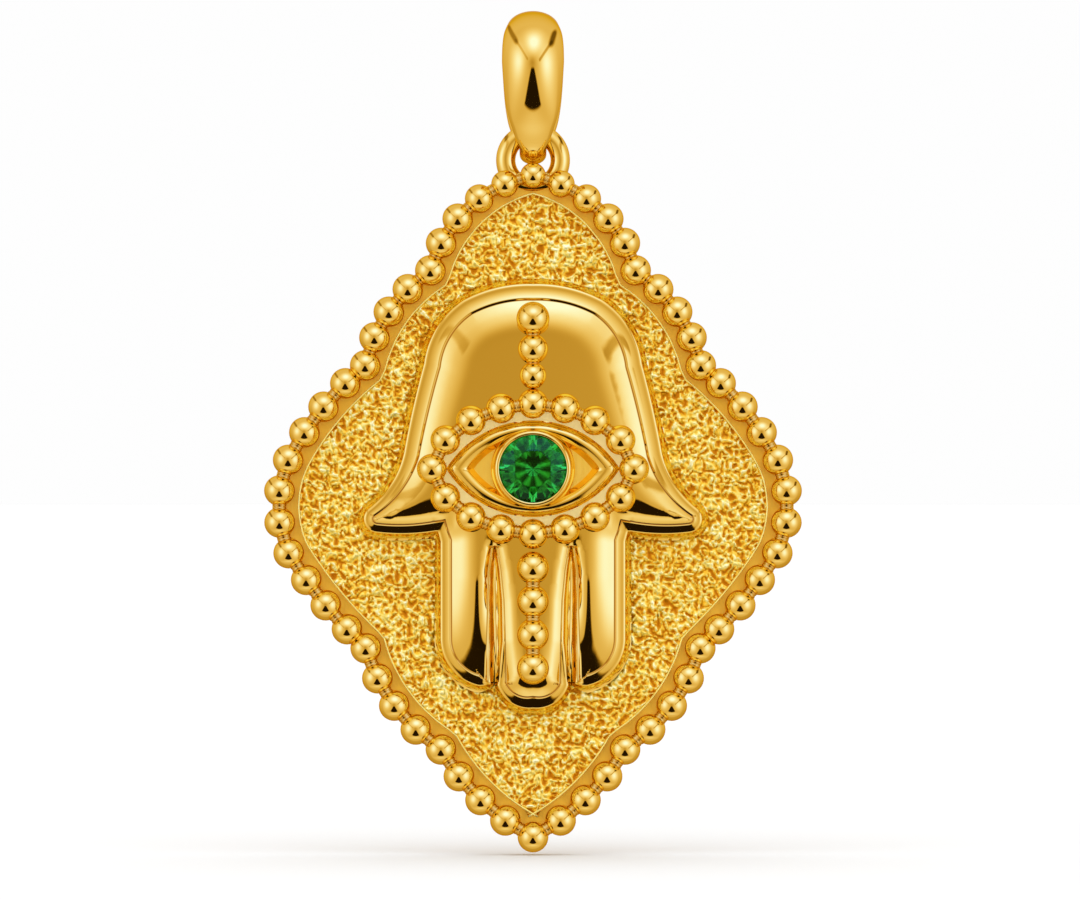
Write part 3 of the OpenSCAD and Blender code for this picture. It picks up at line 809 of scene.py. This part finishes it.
def makeHand():
    s = handShape
    bm = bmesh.new()
    paintedShade = bm.verts.layers.float.new("crease")
    line = withLeftHalf(halfOutline(s["rows"], s["step"]))
    walls, rims = [p[3] for p in line], [p[4] for p in line]
    flat = [p[:2] for p in line]

    def at(shifts):
        return settled(moved(line, shifts), flat, shifts)

    # along the grooves the rim is narrow and stands higher
    lifts = [max(0, s["grooveRim"] - r) * s["grooveLift"] for r in rims]
    ring = startRing(bm, raised(at(walls), heights["handBack"]))
    bmesh.ops.contextual_create(bm, geom=ring)
    wall = s["wallTop"] - heights["handBack"]
    for out, share in s["wall"]:
        ring = growRing(bm, ring, [(p[0], p[1], heights["handBack"] + share * (wall + lift))
                                   for p, lift in zip(at([w * out for w in walls]), lifts)])
    edge, (shallow, steep) = s["edgeWidth"], s["rimSlopes"]

    def rimHeight(d, rim):
        # a round outer edge, then a hollow that rises ever steeper to the crease
        turn = min(1, d / edge)
        past = max(0, d - edge)
        width = max(s["fullRim"], rim) - edge
        return (s["wallTop"] + s["edgeRise"] * math.sqrt(1 - (1 - turn) ** 2)
                + shallow * past + (steep - shallow) * past * past / (2 * width))

    # close steps round the outer edge, even ones to the crease
    rounded = [min(r * 0.5, edge) for r in rims]
    for k in range(1, s["edgeSteps"] + s["rimSteps"] + 1):
        if k <= s["edgeSteps"]:
            depths = [e * (k / s["edgeSteps"]) ** 2 for e in rounded]
        else:
            depths = [e + (r - s["creaseWidth"] - e) * (k - s["edgeSteps"]) / s["rimSteps"]
                      for e, r in zip(rounded, rims)]
        tops = [rimHeight(d, r) + lift for d, r, lift in zip(depths, rims, lifts)]
        ring = growRing(bm, ring, [(p[0], p[1], h) for p, h in zip(at([-d for d in depths]), tops)])
    levels = np.array(tops) - s["creaseDepth"]
    crease = at([-r for r in rims])
    ring = growRing(bm, ring, [(p[0], p[1], h) for p, h in zip(crease, levels)])
    # painted shade along the crease, fuller where the rim is wide
    for vert, rim in zip(ring, rims):
        vert[paintedShade] = min(1, rim / s["fullRim"])
    loop = np.array(crease)
    reaches, powers = np.array([p[5] for p in line]), np.array([p[6] for p in line])
    for d in s["inner"]:
        places = at([-r - d for r in rims])
        found = swell(np.array(places), loop, levels, reaches, powers)
        ring = growRing(bm, ring, [(p[0], p[1], h) for p, h in zip(places, found)])
        for vert in ring:
            vert[paintedShade] = 0
    tops = [v.co.z for v in ring]
    for vert in ring:
        vert.co.z = s["wallTop"]
    inside = fillWithGrid(bm, ring, s["grid"])
    for vert, height in zip(ring, tops):
        vert.co.z = height
    found = swell(np.array([v.co.xy for v in inside]), loop, levels, reaches, powers)
    for vert, height in zip(inside, found):
        vert.co.z = height
    hollow, radius = s["hollow"]
    for vert in inside:
        away = math.hypot(vert.co.x, vert.co.y - heights["eyeMiddle"])
        vert.co.z -= hollow * max(0, 1 - away / radius)
    even = [v for v in inside if all(len(f.verts) == 4 for f in v.link_faces)]
    for _ in range(s["smoothing"]):
        means = [sum(e.other_vert(v).co.z for e in v.link_edges) / len(v.link_edges) for v in even]
        for vert, mean in zip(even, means):
            vert.co.z += (mean - vert.co.z) * 0.5
    for side in (-1, 1):
        addWeb(bm, side, paintedShade)
    # the face inside the beads round the eye gets a painted highlight and a painted glow
    power = eyeBeadShape["power"]
    for face in bm.faces:
        middle = face.calc_center_median()
        across = abs(middle.x) / eyeBeadShape["halfWidth"]
        along = abs(middle.y - heights["eyeMiddle"]) / eyeBeadShape["halfHeight"]
        if middle.z > s["highlightFrom"] and across ** power + along ** power < 1:
            face.material_index = 1
    piece = finishPiece("hand", bm, polishedGold, "pendant", ["hamsa_hand"])
    piece.data.materials.append(eyeHighlightGold)


makeHand()
print("stage: hand")


# beads down the palm: place and diameter
palmBeadShape = {"rows": [(-13.0, 1.5), (-14.38, 1.36), (-15.58, 1.2)]}
fingerBeadShape = {"top": -24.28, "apart": 1.51, "count": 4, "radius": 0.73}


def makeHandBeads():
    rows = palmBeadShape["rows"]
    makeBeadString("palmBeads", ["palm_beads"], [(0, y) for y, _ in rows],
                   [d / 2 for _, d in rows], heights["onPalm"], False)
    s = fingerBeadShape
    makeBeadString("fingerBeads", ["finger_beads"],
                   [(0, s["top"] - k * s["apart"]) for k in range(s["count"])],
                   [s["radius"]] * s["count"], heights["onPalm"], False)


def makeEyeBeads():
    # at even distances along an oval with fuller corners than an almond's
    s = eyeBeadShape
    power = 2 / s["power"]
    path = []
    for degrees in range(90, -271, -2):
        c, n = math.cos(math.radians(degrees)), math.sin(math.radians(degrees))
        path.append((math.copysign(abs(c) ** power, c) * s["halfWidth"],
                     heights["eyeMiddle"] + math.copysign(abs(n) ** power, n) * s["halfHeight"]))
    makeBeadString("eyeBeads", ["eye_beads"],
                   placesAlong(path, [k / s["count"] for k in range(s["count"])]),
                   [s["radius"]] * s["count"], heights["onPalm"], True)


makeHandBeads()
makeEyeBeads()
print("stage: beads on the hand")


eyeShape = {
    "halfWidth": 3.81, "halfHeight": 2.12, "foot": (0.12, 0.07), "footRise": 0.05, "rise": 0.78,
    "lean": 0.1, "cornerLean": 0.4, "band": 0.42, "bandAlong": 2.1, "bandAcross": 1.4,
    # crowned rim: share of the way from its outer side to its inner side, and drop from its top
    "lip": [(0, 0.20), (0.03, 0.14), (0.10, 0.085), (0.22, 0.035), (0.36, 0.009), (0.5, 0),
            (0.64, 0.012), (0.78, 0.042), (0.90, 0.095), (0.97, 0.15), (1.0, 0.20)],
    # recess: how far its side leans in, and height above its floor
    "floor": 0.3, "recessLean": 0.14, "recessAlong": 1.6, "recess": [(1, 0.04), (1.15, 0)],
    "opening": 1.5, "steps": 48, "sharp": 40,
}


def almond(halfWidth, halfHeight):
    # clockwise outline of two arcs that meet in the corners
    steps = eyeShape["steps"]
    radius = (halfWidth ** 2 + halfHeight ** 2) / (2 * halfHeight)
    reach = math.asin(halfWidth / radius)
    upper = []
    for k in range(steps):
        turn = reach * (2 * k / steps - 1)
        upper.append((radius * math.sin(turn),
                      heights["eyeMiddle"] + radius * math.cos(turn) - radius + halfHeight))
    return upper + [(-x, 2 * heights["eyeMiddle"] - y) for x, y in upper]


def makeEyeFrame():
    s = eyeShape
    bm = bmesh.new()
    base = heights["onPalm"]
    innerWidth = s["halfWidth"] - s["band"] * s["bandAlong"]
    innerHeight = s["halfHeight"] - s["band"] * s["bandAcross"]
    lean, corner = s["lean"], s["lean"] * s["cornerLean"]

    def lip(share):
        return almond(s["halfWidth"] - corner + (innerWidth - s["halfWidth"] + corner) * share,
                      s["halfHeight"] - lean + (innerHeight - s["halfHeight"] + lean) * share)

    footAlong, footAcross = s["foot"]
    foot = startRing(bm, raised(almond(s["halfWidth"] + footAlong, s["halfHeight"] + footAcross),
                                base))
    ring = growRing(bm, foot, raised(almond(s["halfWidth"], s["halfHeight"]),
                                     base + s["footRise"]))
    for share, drop in s["lip"]:
        ring = growRing(bm, ring, raised(lip(share), base + s["rise"] - drop))
    inside = s["recessLean"]
    for part, height in s["recess"]:
        side = almond(innerWidth - inside * part * s["recessAlong"], innerHeight - inside * part)
        ring = growRing(bm, ring, raised(side, base + s["floor"] + height))
    # the stone's foot goes through the floor
    turns = [2 * math.pi * k / s["steps"] for k in range(s["steps"])]
    mouth = startRing(bm, [(s["opening"] * math.sin(turn),
                            heights["eyeMiddle"] + s["opening"] * math.cos(turn),
                            base + s["floor"]) for turn in turns])
    below = growRing(bm, mouth, raised([v.co.xy for v in mouth], base))
    floor = bmesh.ops.triangle_fill(bm, use_beauty=True, normal=(0, 0, 1),
                                    edges=loopEdges(bm, ring) + loopEdges(bm, mouth))
    bmesh.ops.triangle_fill(bm, use_beauty=True, normal=(0, 0, -1),
                            edges=loopEdges(bm, foot) + loopEdges(bm, below))
    for face in floor["geom"]:
        if isinstance(face, bmesh.types.BMFace):
            face.material_index = 1
    piece = finishPiece("eyeFrame", bm, polishedGold, "pendant", ["eye_frame"])
    piece.data.materials.append(recessGold)
    keepFlat(piece, s["sharp"])


bezelShape = {
    "girdle": 1.55, "bore": 1.41, "foot": 0.32, "boreTop": 1.02, "steps": 96, "sharp": 60,
    # distance from the axis and height
    "collar": [(1.9, 0.32), (1.9, 0.62), (1.87, 0.68), (1.83, 0.76)],
    # distance outside the girdle and height above it
    "rows": [(0.20, -0.30), (0.205, -0.12), (0.195, 0.0), (0.18, 0.07), (0.14, 0.13), (0.09, 0.163),
             (0.04, 0.17), (0.0, 0.155), (-0.035, 0.13), (-0.05, 0.10), (-0.03, 0.08), (0.02, 0.06),
             (0.02, -0.02)],
    "stoneHeight": 1.14,
}


def makeBezel():
    s = bezelShape
    bm = bmesh.new()
    profile = [(s["bore"], s["foot"])] + s["collar"]
    profile += [(s["girdle"] + out, s["stoneHeight"] + up) for out, up in s["rows"]]
    profile += [(s["bore"], s["boreTop"]), (s["bore"], s["foot"])]
    spinProfile(bm, profile, s["steps"])
    bmesh.ops.translate(bm, verts=bm.verts, vec=(0, heights["eyeMiddle"], heights["onPalm"]))
    piece = finishPiece("bezel", bm, polishedGold, "pendant", ["bezel"])
    keepFlat(piece, s["sharp"])


stoneShape = {
    "diameter": 3.1, "height": 1.14, "facets": 8, "table": 0.56, "crownMid": 0.8,
    "pavilionMid": 0.22, "crown": 0.135, "pavilion": 0.425, "girdle": 0.05, "culet": 0.02,
    "sameFacet": 0.8, "merge": 0.00001,
}


def makeStone():
    s = stoneShape
    bm = bmesh.new()
    corner = math.cos(math.pi / s["facets"])
    crownMid = s["crown"] * (1 - s["crownMid"] * corner) / (1 - s["table"])
    pavilionMid = -s["pavilion"] * (1 - s["pavilionMid"] * corner)
    # share of the radius, height, share of a corner's turn, corners
    levels = [(s["table"], s["girdle"] + s["crown"] * s["diameter"], 0.5, s["facets"]),
              (s["crownMid"], s["girdle"] + crownMid * s["diameter"], 0, s["facets"]),
              (1, s["girdle"], 0.5, 2 * s["facets"]), (1, 0, 0.5, 2 * s["facets"]),
              (s["pavilionMid"], pavilionMid * s["diameter"], 0, s["facets"]),
              (s["culet"], -s["pavilion"] * s["diameter"], 0.5, s["facets"])]
    base = heights["onPalm"] + s["height"]
    for share, height, turn, corners in levels:
        place = Matrix.Translation((0, heights["eyeMiddle"], base + height))
        spin = Matrix.Rotation(math.radians(turn * 360 / s["facets"] - 90), 4, "Z")
        bmesh.ops.create_circle(bm, segments=corners, radius=share * s["diameter"] / 2,
                                matrix=place @ spin)
    made = bmesh.ops.convex_hull(bm, input=bm.verts[:], use_existing_faces=False)
    bmesh.ops.delete(bm, geom=[g for g in made["geom_interior"] + made["geom_unused"]
                               if isinstance(g, bmesh.types.BMVert)], context="VERTS")
    bmesh.ops.dissolve_limit(bm, angle_limit=math.radians(s["sameFacet"]), verts=bm.verts,
                             edges=bm.edges)
    finishPiece("stone", bm, greenStone, "pendant", ["stone"], flat=True,
                merge=s["merge"])


makeEyeFrame()
makeBezel()
makeStone()
print("stage: eye")


floorShape = {"half": 1.6, "back": 0.9, "height": -0.03732, "cloud": (9.0, 2.0, 0.5),
              "dark": (0.63, 0.63, 0.63), "light": (0.65, 0.65, 0.65)}


def makeFloor():
    s = floorShape
    bm = bmesh.new()
    bmesh.ops.create_grid(bm, x_segments=2, y_segments=2, size=s["half"])
    bmesh.ops.translate(bm, verts=bm.verts, vec=(0, s["back"], s["height"]))
    material, bench, shader, place = startFinish("pale floor", {"Roughness": 1.0,
                                                                "Specular IOR Level": 0.0})
    cloud = addNoise(bench, place, *s["cloud"])
    feed(bench, shader, "Base Color", bench.mixColour(cloud, s["dark"], s["light"]))
    floor = placeMesh("floor", bm, material)
    floor.visible_glossy = False
    floor.visible_transmission = False


studio = {
    # the shade in the middle of the ball, and on the ring along its edge from below to above
    "middle": 0.40, "ring": (0.70, 0.80), "ringLow": 0.28, "ringHigh": 0.46,
    "ringRise": (-0.7, 0.5),
    # bright cards, as seen in a polished ball: centre, half width, half height, strength
    "cards": [(0.03, 0.43, 0.28, 0.20, 0.66), (-0.48, 0.08, 0.18, 0.26, 0.52),
              (0.46, 0.04, 0.20, 0.28, 0.54), (-0.02, 0.05, 0.12, 0.13, -0.16),
              (0.0, -0.53, 0.34, 0.08, 0.22)],
    "cardsOnRing": 0.6,
    # dark gaps between the cards: from, to, half width, depth
    "gaps": [(-0.66, 0.62, -0.52, 0.42, 0.07, 0.65), (0.60, 0.52, 0.56, 0.38, 0.08, 0.85),
             (0.56, 0.38, 0.24, 0.10, 0.035, 0.55), (-0.52, 0.42, -0.20, 0.12, 0.030, 0.35)],
    "gapEdge": (0.4, 1.4),
    # black flag under the middle: half width at v = 0 and what each step down adds to it, the
    # radius of its rounded lower edge, its upper edge, and how black it is
    "flagMiddle": -0.01, "flagWidth": (0.03, 0.56), "flagFoot": 0.43, "flagTop": (-0.06, -0.01),
    "flagBlur": (0.02, 0.015), "flagDepth": 0.985,
    # the metal's own colour, taken out of what it mirrors, and how its red and blue follow green
    "metal": (0.96, 0.70, 0.15), "brightest": 0.99, "redPower": 2.5, "bluePower": 2.9,
    "blueShares": (0.58, 0.035),
    # light on the floor, and how it rises towards above and in front; what the camera sees
    "floorLight": 1.40, "floorShares": (0.72, 0.75), "floorRise": (0.1, 1.1), "floorFront": 0.25,
    "white": 0.99,
}


def makeStudio():
    # a soft studio in the world: what a polished ball in front of the camera would mirror,
    # with u and v the place on the ball
    s = studio
    world = bpy.data.worlds.new("soft studio")
    bpy.context.scene.world = world
    bench = Bench(world)
    bench.tree.nodes.clear()
    way = bench.add("ShaderNodeTexCoord", output="Generated")
    x, y, z = (bench.add("ShaderNodeSeparateXYZ", None, {0: way}, output=k) for k in range(3))
    reach = ((2 - 2 * y) + 0.0001) ** 0.5
    u, v = x / reach, z / reach
    radius = (u * u + v * v) ** 0.5

    def glow(cu, cv, ru, rv):
        a, b = (u - cu) / ru, (v - cv) / rv
        return bench.add("ShaderNodeMath", {"operation": "EXPONENT"}, {0: -1.0 * (a * a + b * b)})

    def streak(x0, y0, x1, y1, half):
        # 1 on the line between two places, 0 away from it
        length = math.hypot(x1 - x0, y1 - y0)
        ax, ay = (x1 - x0) / length, (y1 - y0) / length
        along = (u - x0) * ax + (v - y0) * ay
        past = abs(along - length / 2) - length / 2
        past = past.maths("MAXIMUM", past, 0.0)
        across = (v - y0) * ax - (u - x0) * ay
        away = (past * past + across * across) ** 0.5
        return 1 - bench.between(away, half * s["gapEdge"][0], half * s["gapEdge"][1])

    def light(colour, strength):
        return bench.add("ShaderNodeBackground", None, {"Color": colour, "Strength": strength})

    def chosen(ray, others, these):
        mask = bench.add("ShaderNodeLightPath", output=ray)
        return bench.add("ShaderNodeMixShader", None, {0: mask, 1: others, 2: these})

    ring = bench.between(radius, *s["ring"])
    outer = s["ringLow"] + (s["ringHigh"] - s["ringLow"]) * bench.between(v, *s["ringRise"])
    shade = s["middle"] * (1 - ring) + outer * ring
    for cu, cv, ru, rv, strength in s["cards"]:
        shade = shade + glow(cu, cv, ru, rv) * strength * (1 - s["cardsOnRing"] * ring)
    for x0, y0, x1, y1, half, depth in s["gaps"]:
        shade = shade * (1 - depth * streak(x0, y0, x1, y1, half))
    (halfWidth, spread), (sideBlur, footBlur) = s["flagWidth"], s["flagBlur"]
    beside = halfWidth - spread * v - abs(u - s["flagMiddle"])
    flag = (bench.between(beside, -sideBlur, sideBlur)
            * bench.between(s["flagFoot"] - radius, -footBlur, footBlur)
            * (1 - bench.between(v, *s["flagTop"])))
    shade = shade * (1 - s["flagDepth"] * flag)
    # gold's own film-like tint: the shade is what the metal shows in green
    shade = shade.maths("MINIMUM", shade, s["brightest"])
    red = 1 - (1 - shade) ** s["redPower"]
    blue = s["blueShares"][0] * shade ** s["bluePower"] + s["blueShares"][1] * shade
    metal = s["metal"]
    mirrored = light(bench.add("ShaderNodeCombineColor", None, {0: red / metal[0],
                                                                1: shade / metal[1],
                                                                2: blue / metal[2]}), 1.0)
    # the floor gets even light, a little stronger from above and in front
    low, more = s["floorShares"]
    soft = s["floorLight"] * (low + more * bench.between(z - s["floorFront"] * y, *s["floorRise"]))
    shown = chosen("Is Diffuse Ray", mirrored, light((1, 1, 1, 1), soft))
    shown = chosen("Is Camera Ray", shown, light((1, 1, 1, 1), s["white"]))
    bench.add("ShaderNodeOutputWorld", None, {0: shown})
    world.cycles.sampling_method = "NONE"


cameraShape = {"x": 0.318, "z": -18.93, "distance": 400.0, "viewWidth": 49.09, "sensor": 36.0,
               "clip": (0.01, 20.0)}


def makeCamera():
    s = cameraShape
    data = bpy.data.cameras.new("camera")
    data.sensor_width = s["sensor"]
    data.lens = s["sensor"] * s["distance"] / s["viewWidth"]
    data.clip_start, data.clip_end = s["clip"]
    camera = bpy.data.objects.new("camera", data)
    camera.location = (s["x"] / 1000, -s["distance"] / 1000, s["z"] / 1000)
    camera.rotation_euler = (math.pi / 2, 0, 0)
    bpy.context.scene.collection.objects.link(camera)
    bpy.context.scene.camera = camera


makeFloor()
makeStudio()
makeCamera()
bpy.context.scene.view_settings.view_transform = "Standard"
print("stage: floor, light and camera")
